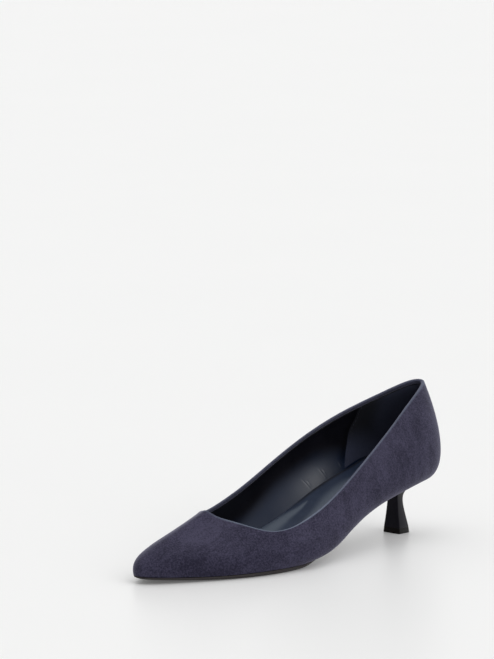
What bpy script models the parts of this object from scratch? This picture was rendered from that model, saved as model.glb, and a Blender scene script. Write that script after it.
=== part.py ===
"""Pointed pump with a low flared heel, left foot, built as its maker's pieces.

The last is worked out in its own frame: s runs along the floor from the back of the
shoe to the toe, y to the outer (lateral) side and z up from the floor.  Every piece is
made from the same ring of wall sections, which runs round the shoe from the toe tip,
along the outer side, round the back and home along the inner (medial) side.
"""

from collections import namedtuple

import bmesh
import bpy
import numpy as np

# Driving dimensions, in metres
LENGTH = 0.253
BALL_WIDTH = 0.075
HEEL_HEIGHT = 0.0342
COLLAR_HEIGHT = 0.0912
WALL = 0.0016
SOLE_THICKNESS = 0.0027
WAIST_THICKNESS = 0.0012
INSOLE_THICKNESS = 0.0022
FOOTBED_THICKNESS = 0.0122
LIFT_THICKNESS = 0.0034
TOE_THINNING = 0.5
GAP = 0.0003

# Where the tread lies flat on the floor, from the back, and how far the toe springs up
FLAT_START = 0.600 * LENGTH
FLAT_END = 0.740 * LENGTH
TOE_SPRING = 0.0034

# The sole's edge against the feather edge of the upper, and the bevel under it: how far in the
# tread starts, and the share of the thickness where the upright edge does
SOLE_MARGIN = -0.0002
TREAD_INSET = 0.0028
EDGE_START = 0.6

# Facets: samples between two sections along the ring, and steps up the wall
RING_STEPS = 5
WALL_STEPS = 14

# Feather line behind the flat tread: along as a share of LENGTH, height of HEEL_HEIGHT
Rise = namedtuple("Rise", "along height")
WAIST_RISE = (
    Rise(0.040, 0.930),
    Rise(0.120, 0.896),
    Rise(0.190, 0.806),
    Rise(0.280, 0.646),
    Rise(0.400, 0.342),
    Rise(0.480, 0.142),
    Rise(0.540, 0.040),
    Rise(0.600, 0.000),
)

# Feather edge, where the upper meets the sole: along as a share of LENGTH from the back,
# then the distance out to each side as a share of BALL_WIDTH
Feather = namedtuple("Feather", "along lateral medial")
FEATHER = (
    Feather(0.9840, -0.053, 0.053),  # toe tip
    Feather(0.9760, 0.010, 0.120),  # toe corner
    Feather(0.9500, 0.085, 0.184),  # toe cap
    Feather(0.9010, 0.190, 0.253),  # toe
    Feather(0.8300, 0.321, 0.338),  # front of the vamp
    Feather(0.7510, 0.430, 0.418),  # vamp
    Feather(0.6640, 0.488, 0.456),  # ball
    Feather(0.5810, 0.472, 0.400),  # behind the ball
    Feather(0.5060, 0.375, 0.305),  # front of the waist
    Feather(0.4110, 0.272, 0.225),  # waist
    Feather(0.3000, 0.210, 0.190),  # shank
    Feather(0.1900, 0.200, 0.195),  # front of the seat
    Feather(0.1050, 0.173, 0.173),  # seat
    Feather(0.0600, 0.105, 0.105),  # corner of the seat
    Feather(0.0470, 0.000, 0.000),  # back
)

# Collar: along and out as above, height over the floor as a share of COLLAR_HEIGHT
Collar = namedtuple("Collar", "along lateral medial lateral_height medial_height")
COLLAR = (
    Collar(0.7630, -0.027, 0.027, 0.386, 0.386),  # throat
    Collar(0.7570, 0.033, 0.080, 0.362, 0.380),
    Collar(0.7440, 0.113, 0.140, 0.337, 0.367),
    Collar(0.7260, 0.207, 0.220, 0.313, 0.345),
    Collar(0.7030, 0.300, 0.300, 0.284, 0.323),
    Collar(0.6720, 0.380, 0.380, 0.261, 0.302),  # corner of the throat
    Collar(0.6250, 0.425, 0.417, 0.269, 0.311),
    Collar(0.5690, 0.427, 0.413, 0.303, 0.360),
    Collar(0.5100, 0.413, 0.400, 0.354, 0.430),
    Collar(0.4230, 0.381, 0.373, 0.460, 0.554),
    Collar(0.3160, 0.328, 0.312, 0.614, 0.708),
    Collar(0.2095, 0.250, 0.237, 0.759, 0.828),
    Collar(0.1190, 0.173, 0.156, 0.883, 0.911),
    Collar(0.0480, 0.095, 0.087, 0.968, 0.972),
    Collar(0.0190, 0.000, 0.000, 1.000, 1.000),  # top of the back
)

# Handles of each wall section.  From the feather: flare out (share of BALL_WIDTH) and rise
# (share of the section's height).  From the collar: reach towards the feather (share of
# their distance in plan), drop (share of height) and spread out (share of BALL_WIDTH).
Wall = namedtuple("Wall", "flare rise reach drop spread")
WALLS = (
    Wall(0.034, 0.420, 0.780, 0.550, 0.000),  # toe tip
    Wall(0.034, 0.420, 0.760, 0.540, 0.000),
    Wall(0.032, 0.430, 0.720, 0.520, 0.005),
    Wall(0.028, 0.470, 0.640, 0.480, 0.010),
    Wall(0.026, 0.490, 0.550, 0.450, 0.020),
    Wall(0.030, 0.460, 0.420, 0.420, 0.040),
    Wall(0.045, 0.400, 0.300, 0.400, 0.050),  # ball
    Wall(0.150, 0.190, 0.080, 0.400, 0.040),
    Wall(0.242, 0.075, 0.000, 0.420, 0.038),
    Wall(0.255, 0.040, 0.000, 0.440, 0.035),  # waist
    Wall(0.265, 0.030, 0.000, 0.450, 0.065),
    Wall(0.270, 0.025, 0.000, 0.450, 0.120),
    Wall(0.265, 0.026, 0.000, 0.450, 0.172),
    Wall(0.247, 0.027, 0.000, 0.450, 0.180),
    Wall(0.225, 0.028, 0.000, 0.450, 0.163),  # back
)

# Sections of the inner side that differ, by their place in the table: the arch is cut in
INNER_WALLS = {
    7: Wall(0.115, 0.235, 0.060, 0.400, 0.042),
    8: Wall(0.108, 0.285, 0.000, 0.420, 0.085),
    9: Wall(0.094, 0.340, 0.000, 0.400, 0.130),
    10: Wall(0.090, 0.370, 0.000, 0.400, 0.145),  # shank
    11: Wall(0.098, 0.345, 0.000, 0.390, 0.148),
    12: Wall(0.195, 0.115, 0.000, 0.440, 0.172),
}

# Heel sections from the floor up: height as a share of HEEL_HEIGHT, width across, and its
# front and back faces from the back of the shoe, in metres
HeelSection = namedtuple("HeelSection", "height across front back")
HEEL = (
    HeelSection(0.000, 0.0130, 0.0317, 0.0223),
    HeelSection(0.105, 0.0123, 0.0316, 0.0227),
    HeelSection(0.230, 0.0110, 0.0314, 0.0235),
    HeelSection(0.400, 0.0094, 0.0312, 0.0248),
    HeelSection(0.560, 0.0083, 0.0310, 0.0256),
    HeelSection(0.650, 0.0082, 0.0311, 0.0254),
    HeelSection(0.710, 0.0092, 0.0315, 0.0248),
    HeelSection(0.770, 0.0116, 0.0325, 0.0231),
    HeelSection(0.850, 0.0160, 0.0347, 0.0200),
)
HEEL_CHAMFER = 0.0007

SUEDE = ((0.048, 0.045, 0.085), 0.95)
SOLE_RUBBER = ((0.020, 0.016, 0.015), 0.55)
SOCK_LEATHER = ((0.012, 0.016, 0.026), 0.45)
HEEL_FINISH = ((0.010, 0.010, 0.012), 0.40)
LIFT_RUBBER = ((0.016, 0.014, 0.013), 0.65)


def spline(knots, rows, at, end_slopes=None):
    """A smooth cubic curve through rows at knots, read at the places in at."""
    knots, rows, at = np.asarray(knots, float), np.asarray(rows, float), np.asarray(at, float)
    steps = np.diff(knots)
    slopes = np.diff(rows, axis=0) / steps.reshape((-1,) + (1,) * (rows.ndim - 1))
    first, last = (slopes[0], slopes[-1]) if end_slopes is None else end_slopes
    count = len(knots)
    matrix = np.eye(count)
    right = np.zeros_like(rows)
    right[0], right[-1] = first, last
    for i in range(1, count - 1):
        matrix[i, i - 1 : i + 2] = steps[i], 2 * (steps[i - 1] + steps[i]), steps[i - 1]
        right[i] = 3 * (steps[i] * slopes[i - 1] + steps[i - 1] * slopes[i])
    tangents = np.linalg.solve(matrix, right.reshape(count, -1)).reshape(rows.shape)
    span = np.clip(np.searchsorted(knots, at, side="right") - 1, 0, count - 2)
    shape = at.shape + (1,) * (rows.ndim - 1)
    step = steps[span].reshape(shape)
    t = ((at - knots[span]) / steps[span]).reshape(shape)
    return (
        (1 + 2 * t) * (1 - t) ** 2 * rows[span]
        + t * (1 - t) ** 2 * step * tangents[span]
        + t * t * (3 - 2 * t) * rows[span + 1]
        + t * t * (t - 1) * step * tangents[span + 1]
    )


def sole_thickness(s):
    """Full under the forefoot, thin from the waist to the back and thinned to the toe."""
    waist = np.clip((np.asarray(s) / LENGTH - 0.47) / 0.11, 0, 1)
    toe = np.clip((np.asarray(s) - FLAT_END) / (LENGTH - FLAT_END), 0, 1)
    full = WAIST_THICKNESS + (SOLE_THICKNESS - WAIST_THICKNESS) * waist * waist * (3 - 2 * waist)
    return full * (1 - TOE_THINNING * toe)


def tread_height(s):
    """Underside of the sole: the arch, the flat tread at exactly zero, then the toe spring."""
    s = np.asarray(s, float)
    heights = [(row.height * (HEEL_HEIGHT - WAIST_THICKNESS - GAP)) for row in WAIST_RISE]
    knots = [row.along * LENGTH for row in WAIST_RISE]
    seat_slope = -0.06
    arch = spline(knots, heights, np.clip(s, knots[0], knots[-1]), (seat_slope, 0.0))
    arch = arch + seat_slope * np.minimum(s - knots[0], 0)
    toe = TOE_SPRING * np.clip((s - FLAT_END) / (LENGTH - FLAT_END), 0, None) ** 2
    return np.where(s < FLAT_START, np.maximum(arch, 0), toe)


def feather_height(s):
    """Height of the upper's lower edge over the floor."""
    return tread_height(s) + sole_thickness(s) + GAP


def around(table, lateral, medial):
    """One value per ring section: the outer side from toe to back, then the inner side home."""
    return np.array([lateral(row) for row in table] + [medial(row) for row in table[-2:0:-1]])


def ring_rows(table):
    """The along and out places of a table's sections round the ring."""
    along = around(table, lambda r: r.along * LENGTH, lambda r: r.along * LENGTH)
    out = around(table, lambda r: r.lateral * BALL_WIDTH, lambda r: -r.medial * BALL_WIDTH)
    return along, out


def outward(along, out):
    """Plan directions pointing out of a closed ring."""
    ahead = np.stack([np.roll(along, -1) - np.roll(along, 1), np.roll(out, -1) - np.roll(out, 1)], -1)
    ahead /= np.linalg.norm(ahead, axis=1, keepdims=True)
    return np.stack([ahead[:, 1], -ahead[:, 0]], -1)


def wall_handles():
    """Four handles, each (s, y, z), for every wall section round the ring."""
    along, out = ring_rows(FEATHER)
    feather = np.stack([along, out, feather_height(along)], -1)
    along, out = ring_rows(COLLAR)
    heights = around(COLLAR, lambda r: r.lateral_height, lambda r: r.medial_height) * COLLAR_HEIGHT
    collar = np.stack([along, out, heights], -1)
    inner = [INNER_WALLS.get(i, row) for i, row in enumerate(WALLS)]
    flare, rise, reach, drop, spread = np.array([*WALLS, *inner[-2:0:-1]]).T
    away = np.zeros_like(feather)
    away[:, :2] = outward(feather[:, 0], feather[:, 1])
    height = collar[:, 2] - feather[:, 2]
    low = feather + away * (flare * BALL_WIDTH)[:, None]
    low[:, 2] += rise * height
    high = collar + away * (spread * BALL_WIDTH)[:, None]
    high[:, :2] += (feather - collar)[:, :2] * reach[:, None]
    high[:, 2] -= drop * height
    return np.stack([feather, low, high, collar], 1)


def ring_handles(steps):
    """The wall handles, smoothed to steps samples between sections, closed round the ring."""
    handles = wall_handles()
    count, wrap = len(handles), 4
    spans = np.linalg.norm(np.roll(handles, -1, 0) - handles, axis=2).mean(1)
    knots = np.concatenate([[0], np.cumsum(spans)])
    before = knots[-1 - wrap : -1] - knots[-1]
    after = knots[1 : wrap + 1] + knots[-1]
    wrapped = np.concatenate([handles[-wrap:], handles, handles[: wrap + 1]])
    share = np.arange(count * steps) / steps
    base = share.astype(int)
    at = knots[base] + (share - base) * spans[base]
    return spline(np.concatenate([before, knots, after]), wrapped, at)


def wall_points(handles, levels):
    """Points of the wall's outer face: one ring for each level, 0 at the feather, 1 at the collar."""
    t = np.asarray(levels, float)[:, None, None]
    feather, low, high, collar = (handles[None, :, i] for i in range(4))
    return (
        (1 - t) ** 3 * feather
        + 3 * (1 - t) ** 2 * t * low
        + 3 * (1 - t) * t * t * high
        + t**3 * collar
    )


def wall_normals(handles, levels):
    """Unit normals of the outer face, pointing out of the shoe."""
    points = wall_points(handles, levels)
    t = np.asarray(levels, float)[:, None, None]
    feather, low, high, collar = (handles[None, :, i] for i in range(4))
    up = (1 - t) ** 2 * (low - feather) + 2 * (1 - t) * t * (high - low) + t * t * (collar - high)
    ahead = np.roll(points, -1, 1) - np.roll(points, 1, 1)
    normals = np.cross(ahead, up)
    return normals / np.linalg.norm(normals, axis=2, keepdims=True)


def inset_points(handles, levels, depth):
    """Points at a depth under the wall's outer face."""
    return wall_points(handles, levels) - depth * wall_normals(handles, levels)


def to_world(points):
    """Last frame to the part's own frame: toe to -X, outer side to -Y, centred on the length."""
    points = np.asarray(points, float)
    return np.stack([LENGTH / 2 - points[..., 0], -points[..., 1], points[..., 2]], -1)


def material(name, finish):
    colour, roughness = finish
    made = bpy.data.materials.new(name)
    made.use_nodes = True
    shader = made.node_tree.nodes["Principled BSDF"]
    shader.inputs["Base Color"].default_value = (*colour, 1.0)
    shader.inputs["Roughness"].default_value = roughness
    return made


def add_piece(name, rings, finish, centre, cap_across):
    """One closed solid from rings of points in the last's frame, each ring joined to the next.

    With cap_across the first and last rings are filled with strips across the shoe, and
    without it the last ring joins the first again, as round the wall of a tube.
    """
    mesh = bmesh.new()
    rows = [[mesh.verts.new(point) for point in to_world(ring)] for ring in rings]
    count = len(rows[0])
    pairs = list(zip(rows, rows[1:]))
    if not cap_across:
        pairs.append((rows[-1], rows[0]))
    for low, high in pairs:
        for i in range(count):
            j = (i + 1) % count
            mesh.faces.new((low[i], low[j], high[j], high[i]))
    if cap_across:
        for row in (rows[0], rows[-1]):
            fill_across(mesh, row)
    bmesh.ops.triangulate(mesh, faces=mesh.faces)
    bmesh.ops.recalc_face_normals(mesh, faces=mesh.faces)
    data = bpy.data.meshes.new(name)
    mesh.to_mesh(data)
    mesh.free()
    data.shade_smooth()
    data.set_sharp_from_angle(angle=np.radians(40))
    data.materials.append(material(name, finish))
    piece = bpy.data.objects.new(name, data)
    bpy.context.scene.collection.objects.link(piece)
    piece.parent = centre
    return piece


def fill_across(mesh, row):
    """Strips from each point of a ring to the one that faces it on the other side."""
    half = len(row) // 2
    for i in range(half):
        corners = [row[i], row[i + 1], row[-i - 1], row[-i]]
        mesh.faces.new(list(dict.fromkeys(corners)))


def make_upper(centre):
    """The suede shell: its outer face, a rounded collar edge, its inner face, and the feather edge."""
    handles = ring_handles(RING_STEPS)
    levels = np.linspace(0, 1, WALL_STEPS) ** 1.15
    outer = wall_points(handles, levels)
    inner = inset_points(handles, levels, WALL)
    edge = (outer[-1] + inner[-1]) / 2
    edge[:, 2] += 0.35 * WALL
    rings = [*outer, edge, *inner[::-1]]
    return add_piece("upper", rings, SUEDE, centre, cap_across=False)


def insole_thickness(s):
    """Thin under the forefoot, built up evenly to the seat, where the wall turns under most."""
    front = np.clip((np.asarray(s) / LENGTH - 0.20) / 0.48, 0, 1)
    return FOOTBED_THICKNESS + (INSOLE_THICKNESS - FOOTBED_THICKNESS) * front * front * (3 - 2 * front)


def make_insole(centre):
    """The sock on its board: a plug that follows the inside of the wall, clear of it all round."""
    handles = ring_handles(4)
    depth = WALL + GAP
    levels = np.linspace(0, 1, 90)
    inside = inset_points(handles, levels, depth)
    rise = inside[:, :, 2] - inside[:1, :, 2]
    top = insole_thickness(inside[0, :, 0])
    rings = []
    for share in (0.0, 0.12, 0.4, 0.7, 1.0):
        level = [np.interp(share * top[i], rise[:, i], levels) for i in range(rise.shape[1])]
        ring = [inset_points(handles, [value], depth)[0, i] for i, value in enumerate(level)]
        rings.append(np.array(ring))
    return add_piece("insole", rings, SOCK_LEATHER, centre, cap_across=True)


def sole_edge(inset):
    """The sole's outline, this far in from its edge."""
    edge = ring_handles(3)[:, 0]
    edge[:, :2] += (SOLE_MARGIN - inset) * outward(edge[:, 0], edge[:, 1])
    edge[:, 2] = tread_height(edge[:, 0])
    return edge


def make_outsole(centre):
    """The outsole: a flat tread, bevelled out to an edge that follows the feather line."""
    tread, low, top = sole_edge(TREAD_INSET), sole_edge(0.0), sole_edge(0.0)
    low[:, 2] += EDGE_START * sole_thickness(low[:, 0])
    top[:, 2] += sole_thickness(top[:, 0])
    return add_piece("outsole", [tread, low, top], SOLE_RUBBER, centre, cap_across=True)


def heel_ring(section, height):
    """One chamfered oblong of the heel, its points in order round it."""
    half = section.across / 2
    cut = HEEL_CHAMFER
    front, back = section.front, section.back
    corners = [(front, half - cut), (front - cut, half), (back + cut, half), (back, half - cut)]
    outline = corners + [(s, -y) for s, y in corners[::-1]]
    return np.array([(s, y, height) for s, y in outline])


def make_heel(centre):
    """The flared heel block, its top cut to the slope of the sole that it carries."""
    lift = next(row for row in HEEL if row.height > 0)
    rings = [heel_ring(row, row.height * HEEL_HEIGHT) for row in HEEL if row.height >= lift.height]
    rings[0][:, 2] = LIFT_THICKNESS + GAP
    rings[-1][:, 2] = tread_height(rings[-1][:, 0]) - GAP
    return add_piece("heel", rings, HEEL_FINISH, centre, cap_across=True)


def make_top_lift(centre):
    """The wearing tip under the heel, flat on the floor."""
    rings = [heel_ring(HEEL[0], 0.0), heel_ring(HEEL[1], LIFT_THICKNESS)]
    return add_piece("top_lift", rings, LIFT_RUBBER, centre, cap_across=True)


def main():
    for thing in list(bpy.data.objects):
        bpy.data.objects.remove(thing)
    centre = bpy.data.objects.new("shoe", None)
    bpy.context.scene.collection.objects.link(centre)
    upper = make_upper(centre)
    make_insole(centre)
    make_outsole(centre)
    make_heel(centre)
    make_top_lift(centre)
    across = [vertex.co.y for vertex in upper.data.vertices]
    lengthwise = [vertex.co.x for vertex in upper.data.vertices]
    centre.location = (-(max(lengthwise) + min(lengthwise)) / 2, -(max(across) + min(across)) / 2, 0)


main()
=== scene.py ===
"""Looks of the pointed pump: suede, lining, sock, sole and heel, on a pale studio floor.

The last's frame is the one the solids were made in: s runs along the floor from the back of
the shoe to the toe, y to the outer (lateral) side and z up.  A place on the wall is a pair:
u counts sections round the ring from the toe tip along the outer side, and level runs from
0 at the feather edge to 1 at the topline.
"""

from collections import namedtuple

import bmesh
import bpy
import numpy as np
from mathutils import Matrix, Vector, noise


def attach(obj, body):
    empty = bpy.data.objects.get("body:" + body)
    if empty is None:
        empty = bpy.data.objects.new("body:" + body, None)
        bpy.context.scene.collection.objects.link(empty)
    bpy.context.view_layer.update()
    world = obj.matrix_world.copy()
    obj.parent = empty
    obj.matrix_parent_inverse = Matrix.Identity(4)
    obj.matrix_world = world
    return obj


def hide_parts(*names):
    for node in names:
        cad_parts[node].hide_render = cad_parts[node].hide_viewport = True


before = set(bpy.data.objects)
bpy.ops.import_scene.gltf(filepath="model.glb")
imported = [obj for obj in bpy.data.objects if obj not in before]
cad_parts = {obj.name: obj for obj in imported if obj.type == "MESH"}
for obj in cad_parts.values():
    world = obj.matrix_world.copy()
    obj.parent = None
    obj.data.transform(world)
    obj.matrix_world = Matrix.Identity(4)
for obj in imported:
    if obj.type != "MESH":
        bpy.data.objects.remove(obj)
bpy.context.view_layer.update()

# Sizes of the last and its pieces, in metres
LENGTH = 0.253
BALL_WIDTH = 0.075
HEEL_HEIGHT = 0.0342
COLLAR_HEIGHT = 0.0912
WALL = 0.0016
SOLE_THICKNESS = 0.0027
WAIST_THICKNESS = 0.0012
SOCK_THICKNESS = 0.0022
FOOTBED_THICKNESS = 0.0122
LIFT_THICKNESS = 0.0034
GAP = 0.0003
FLAT_START = 0.600 * LENGTH
FLAT_END = 0.740 * LENGTH
TOE_SPRING = 0.0034
SOLE_MARGIN = -0.0002
HEEL_CORNER = 0.0007
CENTRE = (-0.0033217, 0.0020071, 0.0)

# Layers of the wall, in metres: how deep the suede goes, where the lining starts under the fold
SUEDE_DEPTH = 0.0010
FOLD_DEPTH = 0.0015
FOLD_LENGTH = 0.0023
EDGE_RISE = 0.00040
LINING_FOOT = 0.0010
GRIP_RISE = 0.0003
CREASE_DEPTH = 0.0002

# The folded edge's cross-section: an ellipse at 1, squarer below
EDGE_ROUNDNESS = 0.7

# The padded back: how much thicker its fold is, and how many sections round that reaches
BACK_PADDING = 0.0007
BACK_REACH = 1.1

# The topline rounded over at the back: by how much of a level, and its reach and shift in sections
CROWN_DROP = 0.019
CROWN_REACH = 0.75
CROWN_SHIFT = 0.15

# The inner wall beside the waist: from one ring section to the next, and from foot to topline
SECTION_SPACING = 0.0235
INNER_WALL_HEIGHT = 0.055

# Where the sole thickens towards the ball, and where the sock comes down to it, in lengths
WAIST_FADE = (0.47, 0.58)
FOOTBED_FADE = (0.20, 0.68)

# Share of the sole's thickness that is gone at the toe tip
TOE_THINNING = 0.5

# Fineness of the meshes
RING_STEPS = 12
OUTER_STEPS = 84
FOLD_STEPS = 13
INNER_STEPS = 24
LINING_STEPS = 56
GRIP_STEPS = (40, 120)
HEEL_STEPS = 56
LEVELS = np.linspace(0, 1, 240)

# The sole's underside behind the ball: place in lengths, and height as a share of the seat's
Rise = namedtuple("Rise", "along height")
WAIST_RISE = (
    Rise(0.040, 0.930),
    Rise(0.120, 0.896),
    Rise(0.190, 0.806),
    Rise(0.280, 0.646),
    Rise(0.400, 0.342),
    Rise(0.480, 0.142),
    Rise(0.540, 0.040),
    Rise(0.600, 0.000),
)

# The feather edge from the toe tip to the back: place in lengths, and how far out in ball widths
Feather = namedtuple("Feather", "along lateral medial")
FEATHER = (
    Feather(0.9840, -0.053, 0.053),
    Feather(0.9760, 0.010, 0.120),
    Feather(0.9500, 0.085, 0.184),
    Feather(0.9010, 0.190, 0.253),
    Feather(0.8300, 0.321, 0.338),
    Feather(0.7510, 0.430, 0.418),
    Feather(0.6640, 0.488, 0.456),
    Feather(0.5810, 0.472, 0.400),
    Feather(0.5060, 0.375, 0.305),
    Feather(0.4110, 0.272, 0.225),
    Feather(0.3000, 0.210, 0.190),
    Feather(0.1900, 0.200, 0.195),
    Feather(0.1050, 0.173, 0.173),
    Feather(0.0600, 0.105, 0.105),
    Feather(0.0470, 0.000, 0.000),
)

# The topline from the throat to the back: the same, and its heights in collar heights
Collar = namedtuple("Collar", "along lateral medial lateral_height medial_height")
COLLAR = (
    Collar(0.7630, -0.027, 0.027, 0.386, 0.386),
    Collar(0.7570, 0.033, 0.080, 0.362, 0.380),
    Collar(0.7440, 0.113, 0.140, 0.337, 0.367),
    Collar(0.7260, 0.207, 0.220, 0.313, 0.345),
    Collar(0.7030, 0.300, 0.300, 0.284, 0.323),
    Collar(0.6720, 0.380, 0.380, 0.261, 0.302),
    Collar(0.6250, 0.425, 0.417, 0.269, 0.311),
    Collar(0.5690, 0.427, 0.413, 0.303, 0.360),
    Collar(0.5100, 0.413, 0.400, 0.354, 0.430),
    Collar(0.4230, 0.381, 0.373, 0.460, 0.554),
    Collar(0.3160, 0.328, 0.312, 0.614, 0.708),
    Collar(0.2095, 0.250, 0.237, 0.759, 0.828),
    Collar(0.1190, 0.173, 0.156, 0.883, 0.911),
    Collar(0.0480, 0.095, 0.087, 0.968, 0.972),
    Collar(0.0190, 0.000, 0.000, 1.000, 1.000),
)

# How each wall section leaves the feather edge (flare, rise) and meets the topline (the others)
Section = namedtuple("Section", "flare rise reach drop spread")
SECTIONS = (
    Section(0.034, 0.420, 0.780, 0.550, 0.000),
    Section(0.034, 0.420, 0.760, 0.540, 0.000),
    Section(0.032, 0.430, 0.720, 0.520, 0.005),
    Section(0.028, 0.470, 0.640, 0.480, 0.010),
    Section(0.026, 0.490, 0.550, 0.450, 0.020),
    Section(0.030, 0.460, 0.420, 0.420, 0.040),
    Section(0.045, 0.400, 0.300, 0.400, 0.050),
    Section(0.150, 0.190, 0.080, 0.400, 0.040),
    Section(0.242, 0.075, 0.000, 0.420, 0.038),
    Section(0.255, 0.040, 0.000, 0.440, 0.035),
    Section(0.265, 0.030, 0.000, 0.450, 0.065),
    Section(0.270, 0.025, 0.000, 0.450, 0.120),
    Section(0.265, 0.026, 0.000, 0.450, 0.172),
    Section(0.247, 0.027, 0.000, 0.450, 0.180),
    Section(0.225, 0.028, 0.000, 0.450, 0.163),
)

# Sections of the inner side that differ, by their place in the table: the arch is cut in
INNER_SECTIONS = {
    7: Section(0.115, 0.235, 0.060, 0.400, 0.042),
    8: Section(0.108, 0.285, 0.000, 0.420, 0.085),
    9: Section(0.094, 0.340, 0.000, 0.400, 0.130),
    10: Section(0.090, 0.370, 0.000, 0.400, 0.145),
    11: Section(0.098, 0.345, 0.000, 0.390, 0.148),
    12: Section(0.195, 0.115, 0.000, 0.440, 0.172),
}

# The heel from the floor up: height in heel heights, width, and where its front and back are
HeelSection = namedtuple("HeelSection", "height across front back")
HEEL = (
    HeelSection(0.000, 0.0130, 0.0317, 0.0223),
    HeelSection(0.105, 0.0123, 0.0316, 0.0227),
    HeelSection(0.230, 0.0110, 0.0314, 0.0235),
    HeelSection(0.400, 0.0094, 0.0312, 0.0248),
    HeelSection(0.560, 0.0083, 0.0310, 0.0256),
    HeelSection(0.650, 0.0082, 0.0311, 0.0254),
    HeelSection(0.710, 0.0092, 0.0315, 0.0248),
    HeelSection(0.770, 0.0116, 0.0325, 0.0231),
    HeelSection(0.850, 0.0160, 0.0347, 0.0200),
)

# Where the heel's top starts to follow the sole above it, in heel heights
HEEL_CUT = 0.62

# The fold's turned-in edge: places down the wall in fold lengths, and how proud it stands there
TURNED_EDGE = (
    (0.0, 1.0), (0.24, 1.0), (0.50, 1.0), (0.76, 1.0), (0.92, 0.88), (0.97, 0.6), (1.0, 0.24),
    (1.03, 0.0), (1.35, 0.0),
)

# The sole's edge from the tread up: how far in from its outline, and its height in thicknesses
SOLE_PROFILE = (
    (0.00280, 0.00),
    (0.00250, 0.05),
    (0.00120, 0.29),
    (0.00050, 0.46),
    (0.00015, 0.56),
    (0.00000, 0.64),
    (0.00000, 0.88),
    (0.00007, 0.96),
    (0.00022, 1.00),
)

# The sock's rounded edge: how far under its top, and how far in
SOCK_EDGE = ((0.0006, 0.0), (0.0003, 0.00006), (0.0001, 0.0002), (0.0, 0.0005))

# The sock's hollow: how deep it is in front, and how much deeper behind
SOCK_HOLLOW = (0.0004, 0.0022)

# The heel's lower edge: how far in, and how far above the tip.  The tip: how far in, and its height
HEEL_FOOT = ((0.00008, 0.0), (0.00002, 0.00003), (0.0, 0.00012))
LIFT_PROFILE = (
    (0.00030, 0.0),
    (0.00010, 0.00008),
    (0.0, 0.0003),
    (0.0, 0.0016),
    (0.0, LIFT_THICKNESS - 0.0001),
    (0.00006, LIFT_THICKNESS),
)

# Front edge of the heel grip inside the shoe: level on the wall, and place on the inner side, which
# is about GRIP_REACH sections from the back
GRIP_REACH = 2.8
GRIP_FRONT = (
    (0.277, 17.15),
    (0.42, 17.00),
    (0.55, 16.86),
    (0.74, 16.74),
    (0.84, 16.62),
    (1.00, 16.58),
)

# The stitches along that edge: the levels they run between, and how many sections behind it
STITCH_LEVELS = (0.36, 0.955)
STITCH_INSET = 0.055

# Unevenness of the soft faces: how high the bumps are, how wide, and their seed
Relief = namedtuple("Relief", "height width seed")
SUEDE_RELIEF = (Relief(0.00006, 0.016, 1), Relief(0.00003, 0.006, 2))
LINING_RELIEF = (Relief(0.00005, 0.014, 3),)
GRIP_RELIEF = (Relief(0.00004, 0.012, 5),)

# Spots where the suede is lighter or darker, partly the nap's own lie and partly painted shade and
# painted highlight: a place on the outer side, its reach and the change
Brushed = namedtuple("Brushed", "s y z along up change")
NAP_AND_LIGHT_SPOTS = (
    Brushed(0.212, 0.002, 0.027, 0.022, 0.009, 0.20),
    Brushed(0.209, 0.014, 0.021, 0.010, 0.006, 0.10),
    Brushed(0.202, 0.004, 0.031, 0.008, 0.004, 0.14),
    Brushed(0.224, 0.012, 0.014, 0.018, 0.008, -0.16),
    Brushed(0.213, 0.023, 0.007, 0.024, 0.006, -0.34),
    Brushed(0.248, -0.002, 0.012, 0.006, 0.008, 0.22),
    Brushed(0.160, 0.039, 0.009, 0.018, 0.006, 0.15),
    Brushed(0.150, 0.037, 0.016, 0.012, 0.006, -0.08),
    Brushed(0.106, 0.031, 0.030, 0.020, 0.008, 0.07),
    Brushed(0.077, 0.026, 0.053, 0.012, 0.008, 0.12),
    Brushed(0.060, 0.028, 0.045, 0.008, 0.010, -0.16),
    Brushed(0.048, 0.020, 0.067, 0.005, 0.004, -0.16),
    Brushed(0.050, 0.022, 0.061, 0.006, 0.004, 0.20),
    Brushed(0.034, 0.016, 0.075, 0.005, 0.005, 0.14),
    Brushed(0.031, 0.018, 0.071, 0.0030, 0.007, -0.32),
    Brushed(0.034, 0.022, 0.061, 0.0032, 0.008, -0.34),
    Brushed(0.037, 0.025, 0.051, 0.0036, 0.007, -0.30),
    Brushed(0.022, 0.020, 0.064, 0.005, 0.009, 0.12),
    Brushed(0.024, 0.012, 0.083, 0.006, 0.005, -0.14),
    Brushed(0.022, 0.0225, 0.056, 0.006, 0.010, -0.16),
    Brushed(0.024, 0.023, 0.042, 0.008, 0.005, 0.06),
)

# Painted highlight on the topline's folded edge: how pale it is at places round the ring, how far down
# its face that reaches, and how pale the fold is inside it
PALE_EDGE = (
    (0.8, 0.3), (2.6, 1.0), (7.8, 1.0), (9.0, 0.70), (10.0, 0.58), (13.5, 0.55), (15.0, 0.4),
    (25.4, 0.4), (27.2, 0.3),
)
PALE_REACH = 0.00035
PALE_FOLD = 0.2

# Painted light on the lining: up to which level it is lighter and bluish at places on the inner side
PAINTED_LIGHT_TOP = ((17.0, 0.58), (17.8, 0.74), (19.0, 0.74), (20.2, 0.60))

# Painted reflection on the lining: how much coat it has at places on the inner side, where the
# highlight falls
PAINTED_REFLECTION = (
    (16.6, 0.12), (17.1, 0.60), (17.36, 0.90), (17.6, 1.0), (17.95, 1.0), (18.13, 0.78),
    (18.30, 0.52), (18.48, 0.35), (18.6, 0.24), (18.75, 0.17), (18.9, 0.13), (19.1, 0.070),
    (19.4, 0.040), (20.2, 0.038), (21.0, 0.03), (23.0, 0.02),
)

# Extra places round the ring, which make the mesh fine where the creases are
CREASED_PLACES = np.arange(17.0, 18.5, 0.012) + 0.003

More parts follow.
